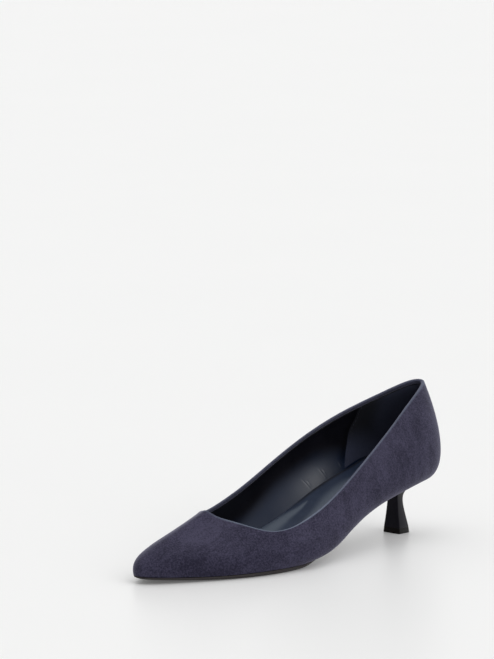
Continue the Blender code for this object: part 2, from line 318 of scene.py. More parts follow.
# Small creases in the lining there: place and level, lean, length and width
Crease = namedtuple("Crease", "place level lean length width")
CREASES = (
    Crease(18.26, 0.345, 0.24, 0.0044, 0.00035),
    Crease(18.19, 0.335, 0.20, 0.0018, 0.00030),
    Crease(17.78, 0.335, 0.24, 0.0038, 0.00035),
    Crease(17.72, 0.340, 0.18, 0.0020, 0.00030),
    Crease(17.26, 0.315, 0.12, 0.0022, 0.00035),
)

# Painted highlight on the sock: paler bands where it catches the light; places along and across,
# half-width and strength
SOCK_HIGHLIGHT_BANDS = (
    (
        (0.0930, -0.0142, 0.0010, 1.0),
        (0.0985, -0.0143, 0.0024, 1.0),
        (0.1080, -0.0163, 0.0045, 1.0),
        (0.1165, -0.0172, 0.0064, 1.0),
        (0.1280, -0.0180, 0.0080, 1.0),
        (0.1450, -0.0175, 0.0095, 0.7),
        (0.1700, -0.0100, 0.0110, 0.4),
        (0.1950, -0.0040, 0.0090, 0.0),
    ),
    (
        (0.1950, 0.0030, 0.0100, 0.0),
        (0.1650, 0.0040, 0.0140, 0.35),
        (0.1350, 0.0040, 0.0125, 0.6),
        (0.1140, 0.0016, 0.0070, 0.9),
        (0.0990, 0.0006, 0.0072, 1.0),
        (0.0860, -0.0006, 0.0094, 1.0),
        (0.0740, -0.0020, 0.0094, 0.95),
        (0.0640, -0.0030, 0.0082, 0.8),
        (0.0500, 0.0010, 0.0085, 0.5),
        (0.0350, 0.0020, 0.0085, 0.3),
        (0.0180, 0.0010, 0.0060, 0.0),
    ),
)

# Painted shade in the crevice round the sock: how far in it fades, and where along the shoe
CREVICE_REACH = (0.0006, 0.0026)
CREVICE_FADE = (0.080, 0.110)

# Camera: the photograph's angle, where its aim point falls in a frame of 494 by 659, and its lens
VIEW_AZIMUTH = -48.4
VIEW_ELEVATION = 10.85
VIEW_DISTANCE = 3.0
AIM = (-0.00382, 0.00200, 0.0)
AIM_PIXEL = (285.81, 555.34)
FRAME_PIXELS = (494, 659)
FOCAL_PIXELS = 5125.06


def spline(knots, rows, at, end_slopes=None):
    """A smooth cubic curve through rows at knots, read at the places in at."""
    knots, rows, at = np.asarray(knots, float), np.asarray(rows, float), np.asarray(at, float)
    steps = np.diff(knots)
    slopes = np.diff(rows, axis=0) / steps.reshape((-1,) + (1,) * (rows.ndim - 1))
    first, last = (slopes[0], slopes[-1]) if end_slopes is None else end_slopes
    count = len(knots)
    matrix = np.eye(count)
    right = np.zeros_like(rows)
    right[0], right[-1] = first, last
    for i in range(1, count - 1):
        matrix[i, i - 1 : i + 2] = steps[i], 2 * (steps[i - 1] + steps[i]), steps[i - 1]
        right[i] = 3 * (steps[i] * slopes[i - 1] + steps[i - 1] * slopes[i])
    tangents = np.linalg.solve(matrix, right.reshape(count, -1)).reshape(rows.shape)
    span = np.clip(np.searchsorted(knots, at, side="right") - 1, 0, count - 2)
    shape = at.shape + (1,) * (rows.ndim - 1)
    step = steps[span].reshape(shape)
    t = ((at - knots[span]) / steps[span]).reshape(shape)
    return (
        (1 + 2 * t) * (1 - t) ** 2 * rows[span]
        + t * (1 - t) ** 2 * step * tangents[span]
        + t * t * (3 - 2 * t) * rows[span + 1]
        + t * t * (t - 1) * step * tangents[span + 1]
    )


def smooth(x, start, end):
    """0 before start, 1 after end and an S-curve between."""
    t = np.clip((np.asarray(x, float) - start) / (end - start), 0, 1)
    return t * t * (3 - 2 * t)


def sole_thickness(s):
    """Full under the forefoot, thin from the waist to the back and thinned to the toe."""
    toe = np.clip((np.asarray(s) - FLAT_END) / (LENGTH - FLAT_END), 0, 1)
    waist = smooth(np.asarray(s) / LENGTH, *WAIST_FADE)
    return (WAIST_THICKNESS + (SOLE_THICKNESS - WAIST_THICKNESS) * waist) * (1 - TOE_THINNING * toe)


def tread_height(s):
    """Underside of the sole: the arch, the flat tread, then the toe spring."""
    s = np.asarray(s, float)
    heights = [row.height * (HEEL_HEIGHT - WAIST_THICKNESS - GAP) for row in WAIST_RISE]
    knots = [row.along * LENGTH for row in WAIST_RISE]
    seat_slope = -0.06
    arch = spline(knots, heights, np.clip(s, knots[0], knots[-1]), (seat_slope, 0.0))
    arch = arch + seat_slope * np.minimum(s - knots[0], 0)
    toe = TOE_SPRING * np.clip((s - FLAT_END) / (LENGTH - FLAT_END), 0, None) ** 2
    return np.where(s < FLAT_START, np.maximum(arch, 0), toe)


def around(table, lateral, medial):
    """One value per ring section: the outer side from toe to back, then the inner side home."""
    return np.array([lateral(row) for row in table] + [medial(row) for row in table[-2:0:-1]])


def ring_rows(table):
    """The along and out places of a table's sections round the ring."""
    along = around(table, lambda r: r.along * LENGTH, lambda r: r.along * LENGTH)
    out = around(table, lambda r: r.lateral * BALL_WIDTH, lambda r: -r.medial * BALL_WIDTH)
    return along, out


def outward(along, out):
    """Plan directions pointing out of a closed ring."""
    ahead = np.stack([np.roll(along, -1) - np.roll(along, 1), np.roll(out, -1) - np.roll(out, 1)], -1)
    ahead /= np.linalg.norm(ahead, axis=1, keepdims=True)
    return np.stack([ahead[:, 1], -ahead[:, 0]], -1)


def wall_handles():
    """Four handles, each (s, y, z), for every wall section round the ring."""
    along, out = ring_rows(FEATHER)
    foot = tread_height(along) + sole_thickness(along) + GAP
    feather = np.stack([along, out, foot], -1)
    along, out = ring_rows(COLLAR)
    heights = around(COLLAR, lambda r: r.lateral_height, lambda r: r.medial_height) * COLLAR_HEIGHT
    collar = np.stack([along, out, heights], -1)
    inner = [INNER_SECTIONS.get(i, row) for i, row in enumerate(SECTIONS)]
    flare, rise, reach, drop, spread = np.array([*SECTIONS, *inner[-2:0:-1]]).T
    away = np.zeros_like(feather)
    away[:, :2] = outward(feather[:, 0], feather[:, 1])
    height = collar[:, 2] - feather[:, 2]
    low = feather + away * (flare * BALL_WIDTH)[:, None]
    low[:, 2] += rise * height
    high = collar + away * (spread * BALL_WIDTH)[:, None]
    high[:, :2] += (feather - collar)[:, :2] * reach[:, None]
    high[:, 2] -= drop * height
    return np.stack([feather, low, high, collar], 1)


HANDLES = wall_handles()
RING = len(HANDLES)
BACK = RING // 2


def handles_at(u):
    """The four wall handles at places u round the ring."""
    u = np.asarray(u, float) % RING
    base = np.floor(u).astype(int) % RING
    spans = np.linalg.norm(np.roll(HANDLES, -1, 0) - HANDLES, axis=2).mean(1)
    knots = np.concatenate([[0], np.cumsum(spans)])
    wrap = 4
    before = knots[-1 - wrap : -1] - knots[-1]
    after = knots[1 : wrap + 1] + knots[-1]
    rows = np.concatenate([HANDLES[-wrap:], HANDLES, HANDLES[: wrap + 1]])
    at = knots[base] + (u - np.floor(u)) * spans[base]
    return spline(np.concatenate([before, knots, after]), rows, at)


def outer_face(u, level):
    """Points of the wall's outer face and the way up the wall there."""
    handles = handles_at(u)
    feather, low, high, collar = (handles[..., i, :] for i in range(4))
    t = np.asarray(level, float)[..., None]
    points = (1 - t) ** 3 * feather + 3 * (1 - t) ** 2 * t * low
    points = points + 3 * (1 - t) * t * t * high + t**3 * collar
    up = (1 - t) ** 2 * (low - feather) + 2 * (1 - t) * t * (high - low) + t * t * (collar - high)
    return points, up


def unit(vectors):
    """Vectors brought to length 1."""
    return vectors / np.linalg.norm(vectors, axis=-1, keepdims=True)


def wall(u, level, depth=0.0):
    """Points this deep under the wall's outer face, with depth one number or one for each point."""
    u = np.asarray(u, float)
    points, up = outer_face(u, level)
    step = 0.04
    ahead = outer_face(u + step, level)[0] - outer_face(u - step, level)[0]
    normals = unit(np.cross(ahead, up))
    depth = np.broadcast_to(np.asarray(depth, float), points.shape[:-1])
    return points - depth[..., None] * normals


def crown(u):
    """The visible topline's level: 1, a little lower where the back is rounded over."""
    return 1 - CROWN_DROP * np.exp(-(((u - BACK + CROWN_SHIFT) / CROWN_REACH) ** 2))


def levels_below_topline(u, distances):
    """For each distance below the topline, the level on the wall at each place u."""
    points = outer_face(u[None], LEVELS[:, None])[0]
    steps = np.linalg.norm(np.diff(points, axis=0), axis=2)
    below = np.concatenate([np.cumsum(steps[::-1], 0)[::-1], np.zeros((1, len(u)))])
    columns = [np.interp(distances, below[::-1, i], LEVELS[::-1]) for i in range(len(u))]
    return np.array(columns).T * crown(u)


def levels_at_rise(u, rise, depth):
    """The level at each place u where the wall, this deep, stands this high over its feather edge."""
    heights = wall(u[None], LEVELS[:, None], depth)[..., 2]
    heights = heights - heights[:1]
    rise = np.broadcast_to(rise, u.shape)
    return np.array([np.interp(rise[i], heights[:, i], LEVELS) for i in range(len(u))])


def placed(points):
    """Points of the last's frame in the part's own frame: toe to -X, outer side to -Y."""
    points = np.asarray(points, float)
    turned = np.stack([LENGTH / 2 - points[..., 0], -points[..., 1], points[..., 2]], -1)
    return turned + np.array(CENTRE)


def uneven(points, size, seed):
    """Smooth random numbers from -1 to 1 at points, whose bumps are about this size."""
    offset = Vector((seed * 7.31, seed * 3.17, seed * 5.53))
    scaled = np.asarray(points, float).reshape(-1, 3) / size
    values = [noise.noise(Vector(point) + offset) for point in scaled]
    return np.array(values).reshape(np.shape(points)[:-1])


def bumps(points, rows):
    """Height of soft bumps at points, with one layer of them for each row."""
    return sum(row.height * uneven(points, row.width, row.seed) for row in rows)


def nap_and_painted_light(points):
    """Lighter or darker at points, from the nap's lie and painted shade and highlight, both sides
    alike.
    """
    change = np.zeros(points.shape[:-1])
    for spot in NAP_AND_LIGHT_SPOTS:
        for side in (1, -1) if spot.y > 0.005 else (1,):
            reach = np.array([spot.along, spot.along, spot.up])
            away = (points - np.array([spot.s, side * spot.y, spot.z])) / reach
            change += spot.change * np.exp(-(away**2).sum(-1))
    return change


def highlight_along(points, path):
    """Painted highlight at points from a soft band along an open path, its half-width and strength
    changing.
    """
    worn = np.zeros(points.shape[:-1])
    for start, end in zip(np.array(path)[:-1], np.array(path)[1:]):
        step = (end - start)[:2]
        share = np.clip((points[..., :2] - start[:2]) @ step / (step @ step), 0, 1)
        gap = points[..., :2] - start[:2] - share[..., None] * step
        half = start[2] + share * (end[2] - start[2])
        strength = start[3] + share * (end[3] - start[3])
        away = np.linalg.norm(gap, axis=-1) / half
        worn = np.maximum(worn, strength * (1 - smooth(away, 0.2, 1.1)))
    return worn


def grid_faces(grid):
    """Quads between neighbours in a grid of point numbers."""
    corners = (grid[:-1, :-1], grid[:-1, 1:], grid[1:, 1:], grid[1:, :-1])
    return np.stack(corners, -1).reshape(-1, 4).tolist()


def ring_faces(rows, count, join_ends):
    """Quads between neighbouring rings of count points each."""
    grid = np.arange(rows * count).reshape(rows, count)
    return grid_faces(np.pad(grid, ((0, int(join_ends)), (0, 1)), mode="wrap"))


def finish_mesh(name, points, faces, finish, marks=None, sharp=60.0):
    """One piece from points of the last's frame, with its material and its named marks."""
    mesh = bmesh.new()
    corners = [mesh.verts.new(point) for point in placed(points)]
    for face in faces:
        mesh.faces.new([corners[i] for i in dict.fromkeys(face)])
    bmesh.ops.recalc_face_normals(mesh, faces=mesh.faces)
    data = bpy.data.meshes.new(name)
    mesh.to_mesh(data)
    mesh.free()
    data.shade_smooth()
    data.set_sharp_from_angle(angle=np.radians(sharp))
    for title, values in (marks or {}).items():
        attribute = data.attributes.new(title, "FLOAT", "POINT")
        attribute.data.foreach_set("value", np.asarray(values, np.float32).ravel())
    data.materials.append(finish)
    piece = bpy.data.objects.new(name, data)
    bpy.context.scene.collection.objects.link(piece)
    return piece


def shell(name, rings, finish, marks=None):
    """A closed wall from rings of points, the last ring joined to the first again."""
    rings = np.asarray(rings)
    faces = ring_faces(len(rings), rings.shape[1], join_ends=True)
    return finish_mesh(name, rings.reshape(-1, 3), faces, finish, marks)


def plate(name, rings, finish, across, low_dish, high_dish, sharp=60.0, marks_at=None):
    """A closed plate from rings of points, its two faces filled by rows of points across the shoe.

    low_dish and high_dish give how far a face lies under the straight line across, from the
    share of the way across and the place along, 0 at the toe tip and 1 at the back.  marks_at
    gives the piece's marks from its points.
    """
    rings = np.asarray(rings)
    count = rings.shape[1]
    half = count // 2
    points = [rings.reshape(-1, 3)]
    faces = ring_faces(len(rings), count, join_ends=False)
    made = len(rings) * count
    share = np.linspace(0, 1, across + 1)[None, 1:-1, None]
    along = (np.arange(1, half) / half)[:, None]
    for row, dish in ((0, low_dish), (len(rings) - 1, high_dish)):
        near, far = rings[row, 1:half, None], rings[row, :half:-1, None]
        inside = near + (far - near) * share
        inside[..., 2] -= dish(share[..., 0], along)
        points.append(inside.reshape(-1, 3))
        rim = row * count + np.arange(count)
        grid = np.empty((half + 1, across + 1), int)
        grid[0], grid[-1] = rim[0], rim[half]
        grid[1:-1, 0], grid[1:-1, -1] = rim[1:half], rim[:half:-1]
        grid[1:-1, 1:-1] = made + np.arange(len(points[-1])).reshape(inside.shape[:2])
        faces += grid_faces(grid.T)
        made += len(points[-1])
    points = np.concatenate(points)
    return finish_mesh(name, points, faces, finish, marks_at(points) if marks_at else None, sharp)


def flat(share, along):
    """No dish: a face straight across."""
    return 0.0 * share * along


def give(tree, socket, value):
    """A socket linked to another socket, or set to a plain value."""
    if isinstance(value, bpy.types.NodeSocket):
        tree.links.new(value, socket)
    elif socket.type == "RGBA":
        socket.default_value = (*value, 1.0)
    else:
        socket.default_value = value


def feed(tree, made, **values):
    """Sockets of a node linked or set by their names, with _ for each space."""
    for title, value in values.items():
        give(tree, made.inputs[title.replace("_", " ")], value)


def node(tree, kind, inputs=None, **settings):
    """A new node of a tree, its settings and inputs set, an input being a value or a socket."""
    made = tree.nodes.new(kind)
    for name, value in settings.items():
        setattr(made, name, value)
    for name, value in (inputs or {}).items():
        give(tree, made.inputs[name], value)
    return made


def maths(tree, operation, first, second=None, clamp=False):
    """The result of a sum on two values or sockets."""
    inputs = {0: first} if second is None else {0: first, 1: second}
    return node(tree, "ShaderNodeMath", inputs, operation=operation, use_clamp=clamp).outputs[0]


def weighed(tree, *parts):
    """The sum of values, each times its weight."""
    total = 0.0
    for value, weight in parts:
        total = maths(tree, "ADD", maths(tree, "MULTIPLY", value, weight), total)
    return total


def spread_out(tree, value, low, high, to_low=0.0, to_high=1.0):
    """A value between low and high brought to the range between to_low and to_high."""
    inputs = {"Value": value, "From Min": low, "From Max": high, "To Min": to_low, "To Max": to_high}
    return node(tree, "ShaderNodeMapRange", inputs).outputs["Result"]


def mixed(tree, share, first, second):
    """Two colours mixed by a share."""
    made = node(tree, "ShaderNodeMix", data_type="RGBA")
    slots = {"Factor_Float": share, "A_Color": first, "B_Color": second}
    for socket in made.inputs:
        if socket.identifier in slots:
            give(tree, socket, slots[socket.identifier])
    return next(socket for socket in made.outputs if socket.identifier == "Result_Color")


def cloudy(tree, vector, scale, detail=2.0, roughness=0.5, distortion=0.0):
    """Soft random clouds from 0 to 1, scale of them to the metre."""
    inputs = {"Vector": vector, "Scale": scale, "Detail": detail, "Roughness": roughness}
    inputs["Distortion"] = distortion
    return node(tree, "ShaderNodeTexNoise", inputs).outputs["Fac"]


def stretched(tree, vector, scale):
    """A vector scaled differently along its three axes."""
    return node(tree, "ShaderNodeMapping", {"Vector": vector, "Scale": scale}).outputs["Vector"]


def new_group(name, inputs, outputs):
    """An empty shader group with named number inputs, a Vector input and named number outputs."""
    group = bpy.data.node_groups.new(name, "ShaderNodeTree")
    group.interface.new_socket("Vector", in_out="INPUT", socket_type="NodeSocketVector")
    for title, value in inputs.items():
        socket = group.interface.new_socket(title, in_out="INPUT", socket_type="NodeSocketFloat")
        socket.default_value = value
    for title in outputs:
        group.interface.new_socket(title, in_out="OUTPUT", socket_type="NodeSocketFloat")
    start = group.nodes.new("NodeGroupInput")
    end = group.nodes.new("NodeGroupOutput")
    return group, start.outputs, end.inputs


def placed_group(tree, group, vector, **values):
    """A group placed in a material's tree with its own values."""
    made = node(tree, "ShaderNodeGroup", {"Vector": vector}, node_tree=group)
    feed(tree, made, **values)
    return made.outputs


def make_nap_group():
    """Brushed nap: patches and strokes where the pile lies differently, flecks, and fibres."""
    inputs = {"Patches": 60.0, "Strokes": 130.0, "Flecks": 750.0}
    group, given, result = new_group("Brushed nap", inputs, ["Shade", "Fibres"])
    vector = given["Vector"]
    patches = cloudy(group, vector, given["Patches"], 3.0, 0.55, 0.6)
    upright = cloudy(group, stretched(group, vector, (1.0, 1.0, 0.42)), given["Strokes"], 2.0, 0.5, 0.8)
    lying = cloudy(group, stretched(group, vector, (0.36, 1.0, 1.0)), given["Strokes"], 2.0, 0.5, 0.8)
    along = node(group, "ShaderNodeSeparateXYZ", {"Vector": vector}).outputs["X"]
    change = maths(group, "SUBTRACT", lying, upright)
    change = maths(group, "MULTIPLY", change, spread_out(group, along, 0.0, -0.045))
    strokes = maths(group, "ADD", upright, change)
    flecks = cloudy(group, vector, given["Flecks"], 2.0, 0.6)
    fine = cloudy(group, vector, 2600.0, 2.0, 0.6)
    shade = weighed(group, (patches, 0.15), (strokes, 0.19), (flecks, 0.40), (fine, 0.26))
    fibres = weighed(group, (fine, 0.55), (flecks, 0.45))
    group.links.new(shade, result["Shade"])
    group.links.new(fibres, result["Fibres"])
    return group


def make_grain_group():
    """Fine grain: small rounded cells parted by fine furrows, over slow changes of tone."""
    group, given, result = new_group("Fine grain", {"Cells": 1300.0}, ["Tone", "Height"])
    vector = given["Vector"]
    bend = cloudy(group, vector, 420.0, 2.0)
    offset = maths(group, "MULTIPLY", bend, 0.0016)
    bent = node(group, "ShaderNodeVectorMath", {0: vector, 1: offset}, operation="ADD").outputs[0]
    inputs = {"Vector": bent, "Scale": given["Cells"], "Smoothness": 0.6}
    cells = node(group, "ShaderNodeTexVoronoi", inputs, feature="SMOOTH_F1").outputs["Distance"]
    height = maths(group, "SUBTRACT", 1.0, maths(group, "POWER", cells, 1.6), clamp=True)
    tone = cloudy(group, vector, 85.0, 4.0, 0.6, 0.3)
    group.links.new(tone, result["Tone"])
    group.links.new(height, result["Height"])
    return group


def make_dust_group():
    """A little floor dust: strongest at the floor, gone at Reach, in uneven patches."""
    group, given, result = new_group("Floor dust", {"Reach": 0.01}, ["Mask"])
    vector = given["Vector"]
    height = node(group, "ShaderNodeSeparateXYZ", {"Vector": vector}).outputs["Z"]
    low = maths(group, "SUBTRACT", 1.0, maths(group, "DIVIDE", height, given["Reach"]), clamp=True)
    patches = spread_out(group, cloudy(group, vector, 420.0, 4.0, 0.65), 0.42, 0.68)
    mask = maths(group, "MULTIPLY", maths(group, "POWER", low, 1.5), patches, clamp=True)
    group.links.new(mask, result["Mask"])
    return group


NAP = make_nap_group()
GRAIN = make_grain_group()
DUST = make_dust_group()


def new_material(name, **constants):
    """A material, its tree, its shader and Object coordinates, with plain values set on the shader."""
    made = bpy.data.materials.new(name)
    made.use_nodes = True
    tree = made.node_tree
    shader = tree.nodes["Principled BSDF"]
    feed(tree, shader, **constants)
    where = tree.nodes.new("ShaderNodeTexCoord").outputs["Object"]
    return made, tree, shader, where


def mark(tree, name):
    """A mark painted on the mesh, as a value."""
    return node(tree, "ShaderNodeAttribute", attribute_name=name).outputs["Fac"]


def bump(tree, shader, height, strength, distance):
    """Relief on the shader's surface from a height."""
    inputs = {"Height": height, "Strength": strength, "Distance": distance}
    feed(tree, shader, Normal=node(tree, "ShaderNodeBump", inputs).outputs["Normal"])


def marked(tree, name, share, colour, other):
    """A colour turned to another where the mesh is marked, at most by this share."""
    return mixed(tree, maths(tree, "MULTIPLY", mark(tree, name), share), colour, other)


def dusted(tree, where, colour, reach, share, dust):
    """A colour with floor dust over it, up to this height and at most by this share."""
    mask = placed_group(tree, DUST, where, Reach=reach)["Mask"]
    return mixed(tree, maths(tree, "MULTIPLY", mask, share), colour, dust)


def coat_off_shaded_front(tree, weight):
    """The coat's weight on a heel: full on its back and sides, none on its front face, left darker as
    painted shade.
    """
    return spread_out(tree, mark(tree, "front"), 0.0, 1.0, weight, 0.0)


def grained(name, cells, dark, light, rough, **constants):
    """A grained finish: material, tree, shader, coordinates, grain, and colour from dark to light."""
    made, tree, shader, where = new_material(name, **constants)
    grain = placed_group(tree, GRAIN, where, Cells=cells)
    tone = spread_out(tree, grain["Tone"], 0.3, 0.7)
    feed(tree, shader, Roughness=spread_out(tree, tone, 0.0, 1.0, *rough))
    return made, tree, shader, where, grain, mixed(tree, tone, dark, light)


def make_suede():
    made, tree, shader, where = new_material(
        "navy suede",
        Specular_IOR_Level=0.12,
        Sheen_Weight=0.42,
        Sheen_Roughness=0.38,
        Sheen_Tint=(0.62, 0.62, 0.78),
    )
    nap = placed_group(tree, NAP, where, Patches=58.0, Strokes=150.0, Flecks=1000.0)
    share = spread_out(tree, nap["Shade"], 0.41, 0.59)
    # spots of the nap's own lie, of painted shade and of painted highlight
    share = maths(tree, "ADD", share, mark(tree, "nap_lay_and_painted_light"))
    colour = mixed(tree, share, (0.018, 0.0166, 0.0325), (0.056, 0.0515, 0.0905))
    # painted highlight: the folded topline edge turned pale and bluish where the light catches it
    colour = marked(tree, "edge", 0.85, colour, (0.150, 0.178, 0.238))
    feed(tree, shader, Base_Color=colour, Roughness=spread_out(tree, share, 0.0, 1.0, 0.98, 0.86))
    bump(tree, shader, nap["Fibres"], 0.45, 0.00035)
    return made


def make_lining_leather():
    made, tree, shader, _, grain, colour = grained(
        "dark lining leather",
        cells=1500.0,
        dark=(0.0034, 0.0032, 0.0052),
        light=(0.0062, 0.0058, 0.0092),
        rough=(0.36, 0.46),
        Specular_IOR_Level=0.14,
        Coat_Roughness=0.42,
        Coat_IOR=1.95,
    )
    # painted light: the lining lighter and bluish low down, where the light falls on it
    colour = mixed(tree, mark(tree, "painted_light_blue"), colour, (0.0045, 0.0125, 0.0370))
    # a darker band on the lining just in front of the grip's front edge
    colour = marked(tree, "grip_edge_band", 0.45, colour, (0.0016, 0.0016, 0.0022))
    # painted reflection: the coat is laid on only where the highlight falls
    painted_reflection = maths(tree, "MINIMUM", mark(tree, "painted_reflection"), 1.0)
    feed(tree, shader, Base_Color=colour, Coat_Weight=painted_reflection)
    bump(tree, shader, grain["Height"], 0.10, 0.00012)
    return made


def make_grip_leather():
    made, tree, shader, where = new_material("heel grip nubuck", Specular_IOR_Level=0.10)
    nap = placed_group(tree, NAP, where, Patches=90.0, Strokes=200.0, Flecks=1100.0)
    share = spread_out(tree, nap["Shade"], 0.34, 0.66)
    dull = mixed(tree, share, (0.011, 0.0115, 0.015), (0.016, 0.0165, 0.021))
    paler_low_and_back = mixed(tree, share, (0.035, 0.040, 0.068), (0.049, 0.055, 0.091))
    # the nubuck lighter and bluer low down and at the back of the grip
    colour = mixed(tree, mark(tree, "paler_low_and_back"), dull, paler_low_and_back)
    feed(tree, shader, Base_Color=colour, Roughness=spread_out(tree, share, 0.0, 1.0, 0.80, 0.66))
    bump(tree, shader, nap["Fibres"], 0.25, 0.0002)
    return made


def make_sock_leather():
    made, tree, shader, _, grain, colour = grained(
        "navy sock leather",
        cells=1200.0,
        dark=(0.0165, 0.0265, 0.0550),
        light=(0.0245, 0.0375, 0.0730),
        rough=(0.40, 0.52),
        Specular_IOR_Level=0.35,
    )
    # painted highlight: paler bands where the sock catches the light
    colour = mixed(tree, mark(tree, "worn"), colour, (0.096, 0.117, 0.154))
    # painted shade: the sock's edge darkened where it meets the lining
    colour = marked(tree, "crevice", 0.85, colour, (0.0040, 0.0045, 0.0080))
    feed(tree, shader, Base_Color=colour)
    bump(tree, shader, grain["Height"], 0.18, 0.00015)
    return made


def make_sole_rubber():
    made, tree, shader, where, grain, colour = grained(
        "sole edge and tread",
        cells=900.0,
        dark=(0.018, 0.0142, 0.0150),
        light=(0.030, 0.0240, 0.0255),
        rough=(0.50, 0.66),
        Specular_IOR_Level=0.4,
    )
    colour = dusted(tree, where, colour, 0.004, 0.15, (0.11, 0.10, 0.09))
    feed(tree, shader, Base_Color=colour)
    bump(tree, shader, grain["Height"], 0.20, 0.00018)
    return made


def make_heel_lacquer():
    made, tree, shader, where, grain, colour = grained(
        "black heel lacquer",
        cells=700.0,
        dark=(0.0072, 0.0068, 0.0108),
        light=(0.0136, 0.0128, 0.0184),
        rough=(0.34, 0.48),
        Specular_IOR_Level=0.05,
        Coat_Roughness=0.30,
    )
    colour = dusted(tree, where, colour, 0.012, 0.06, (0.09, 0.085, 0.08))
    feed(tree, shader, Base_Color=colour, Coat_Weight=coat_off_shaded_front(tree, 0.70))
    bump(tree, shader, grain["Tone"], 0.08, 0.0002)
    return made


def make_lift_rubber():
    made, tree, shader, where, grain, colour = grained(
        "lift rubber",
        cells=1800.0,
        dark=(0.0070, 0.0062, 0.0060),
        light=(0.0128, 0.0114, 0.0110),
        rough=(0.55, 0.72),
        Specular_IOR_Level=0.05,
        Coat_Roughness=0.40,
    )
    colour = dusted(tree, where, colour, 0.0035, 0.10, (0.10, 0.095, 0.09))
    feed(tree, shader, Base_Color=colour, Coat_Weight=coat_off_shaded_front(tree, 0.64))
    bump(tree, shader, grain["Height"], 0.25, 0.0002)
    return made


def make_thread():
    made, tree, shader, where = new_material("navy thread", Specular_IOR_Level=0.35)
    inputs = {"Vector": where, "Scale": 900.0, "Distortion": 1.0}
    twist = node(tree, "ShaderNodeTexWave", inputs, bands_direction="DIAGONAL").outputs["Fac"]
    colour = mixed(tree, twist, (0.010, 0.011, 0.020), (0.026, 0.028, 0.045))
    feed(tree, shader, Base_Color=colour, Roughness=spread_out(tree, twist, 0.0, 1.0, 0.75, 0.55))
    bump(tree, shader, twist, 0.3, 0.0001)
    return made


def make_floor_paper():
    made, tree, shader, where = new_material(
        "pale studio floor",
        Roughness=0.36,
        Specular_IOR_Level=0.24,
        Emission_Color=(1.0, 1.0, 0.998),
        Emission_Strength=0.10,
    )
    speck = cloudy(tree, where, 6.0, 2.0)
    feed(tree, shader, Base_Color=mixed(tree, speck, (0.748, 0.749, 0.749), (0.760, 0.761, 0.760)))
    return made


def ring_places():
    """Even places round the whole ring, RING_STEPS of them to a section."""
    return np.arange(RING * RING_STEPS) / RING_STEPS


def folded_edge(u, thick):
    """Rings over the folded topline, and how far across each lies: 1 outside, -1 inside."""
    rim_out = wall(u, crown(u))
    rim_in = wall(u, crown(u), thick)
    up = unit(outer_face(u, crown(u))[1]) * EDGE_RISE * (thick / FOLD_DEPTH)[:, None]
    turns = np.linspace(0, np.pi, FOLD_STEPS)[1:-1]
    across = np.sign(np.cos(turns)) * np.abs(np.cos(turns)) ** EDGE_ROUNDNESS
    rise = np.sin(turns) ** EDGE_ROUNDNESS
    middle, reach = (rim_out + rim_in) / 2, (rim_out - rim_in) / 2
    return [middle + reach * a + up * b for a, b in zip(across, rise)], across


def painted_edge_highlight(u, outer, across, proud, unseen):
    """Painted highlight on the upper's rings: the outer face, the fold, the turned-in edge, those
    unseen.
    """
    pale = np.interp(u, *zip(*PALE_EDGE))
    below = np.linalg.norm(outer[-1][None] - outer, axis=2)
    outside = smooth(across, -0.35, 0.65)[:, None]
    face = pale * (1 - smooth(below, 0.0, PALE_REACH))
    fold = pale * outside + PALE_FOLD * (1 - outside)
    turned = PALE_FOLD * proud[:, None] * np.ones(len(u))
    return np.concatenate([face, fold, turned, np.zeros((unseen, len(u)))])


def make_upper():
    """The suede: its outer face, the fold over the topline, the turned-in edge and the inner face."""
    u = ring_places()
    share = np.linspace(0, 1, OUTER_STEPS)[:, None] ** 1.1
    levels = share * crown(u)
    calm = smooth(share, 0.0, 0.06) * smooth(1 - share, 0.0, 0.05)
    relief = bumps(outer_face(u[None], levels)[0], SUEDE_RELIEF) * calm
    outer = wall(u[None], levels, -relief)
    thick = FOLD_DEPTH + BACK_PADDING * np.exp(-(((u - BACK) / BACK_REACH) ** 2))
    fold, across = folded_edge(u, thick)
    down, proud = np.array(TURNED_EDGE).T
    below_rim = levels_below_topline(u, down * FOLD_LENGTH)
    turned = wall(u[None], below_rim, SUEDE_DEPTH + proud[:, None] * (thick - SUEDE_DEPTH))
    inside = wall(u[None], below_rim[-1] * np.linspace(1, 0, INNER_STEPS)[1:, None], SUEDE_DEPTH)
    rings = np.concatenate([outer, fold, turned, inside])
    marks = {"edge": painted_edge_highlight(u, outer, across, proud, len(inside)), "nap_lay_and_painted_light": nap_and_painted_light(rings)}
    return shell("upper_suede", rings, make_suede(), marks)


def grip_front(level):
    """Place on the inner side where the heel grip's front edge crosses a level."""
    knots, places = zip(*GRIP_FRONT)
    return np.interp(level, knots, places)


def creased(u, levels):
    """Height, from 0 to 1, of the small creases over the lining's grid."""
    height = np.zeros(levels.shape)
    for row in CREASES:
        up = (levels - row.level) * INNER_WALL_HEIGHT
        across = (u[None] - row.place) * SECTION_SPACING - row.lean * up
        height = np.maximum(height, np.exp(-((across / row.width) ** 2) - (up / row.length) ** 4))
    return height


def lining_marks(u, levels, creases):
    """Lining marks: darker by the grip's edge, painted light low down, coat for a painted reflection.
    """
    side = np.where(u > BACK, u, RING - u)
    ahead = (side[None] - grip_front(levels)) * SECTION_SPACING
    high = smooth(levels, 0.28, 0.42)
    grip_edge_band = smooth(ahead, -0.001, 0.0002) * (1 - smooth(ahead, 0.0028, 0.0052)) * high
    painted_light_to = np.interp(side, *zip(*PAINTED_LIGHT_TOP))
    painted_light_blue = (1 - smooth(levels, painted_light_to - 0.32, painted_light_to)) * (1 - smooth(side, 20.4, 22.0))
    painted_reflection = np.interp(side, *zip(*PAINTED_REFLECTION), left=0.0)[None] * (1 - 0.96 * smooth(levels, 0.25, 0.66))
    painted_reflection = painted_reflection * smooth(ahead + 0.004 * (1 - high), 0.0, 0.008) + 0.35 * creases
    return {"grip_edge_band": grip_edge_band, "painted_light_blue": painted_light_blue, "painted_reflection": painted_reflection}


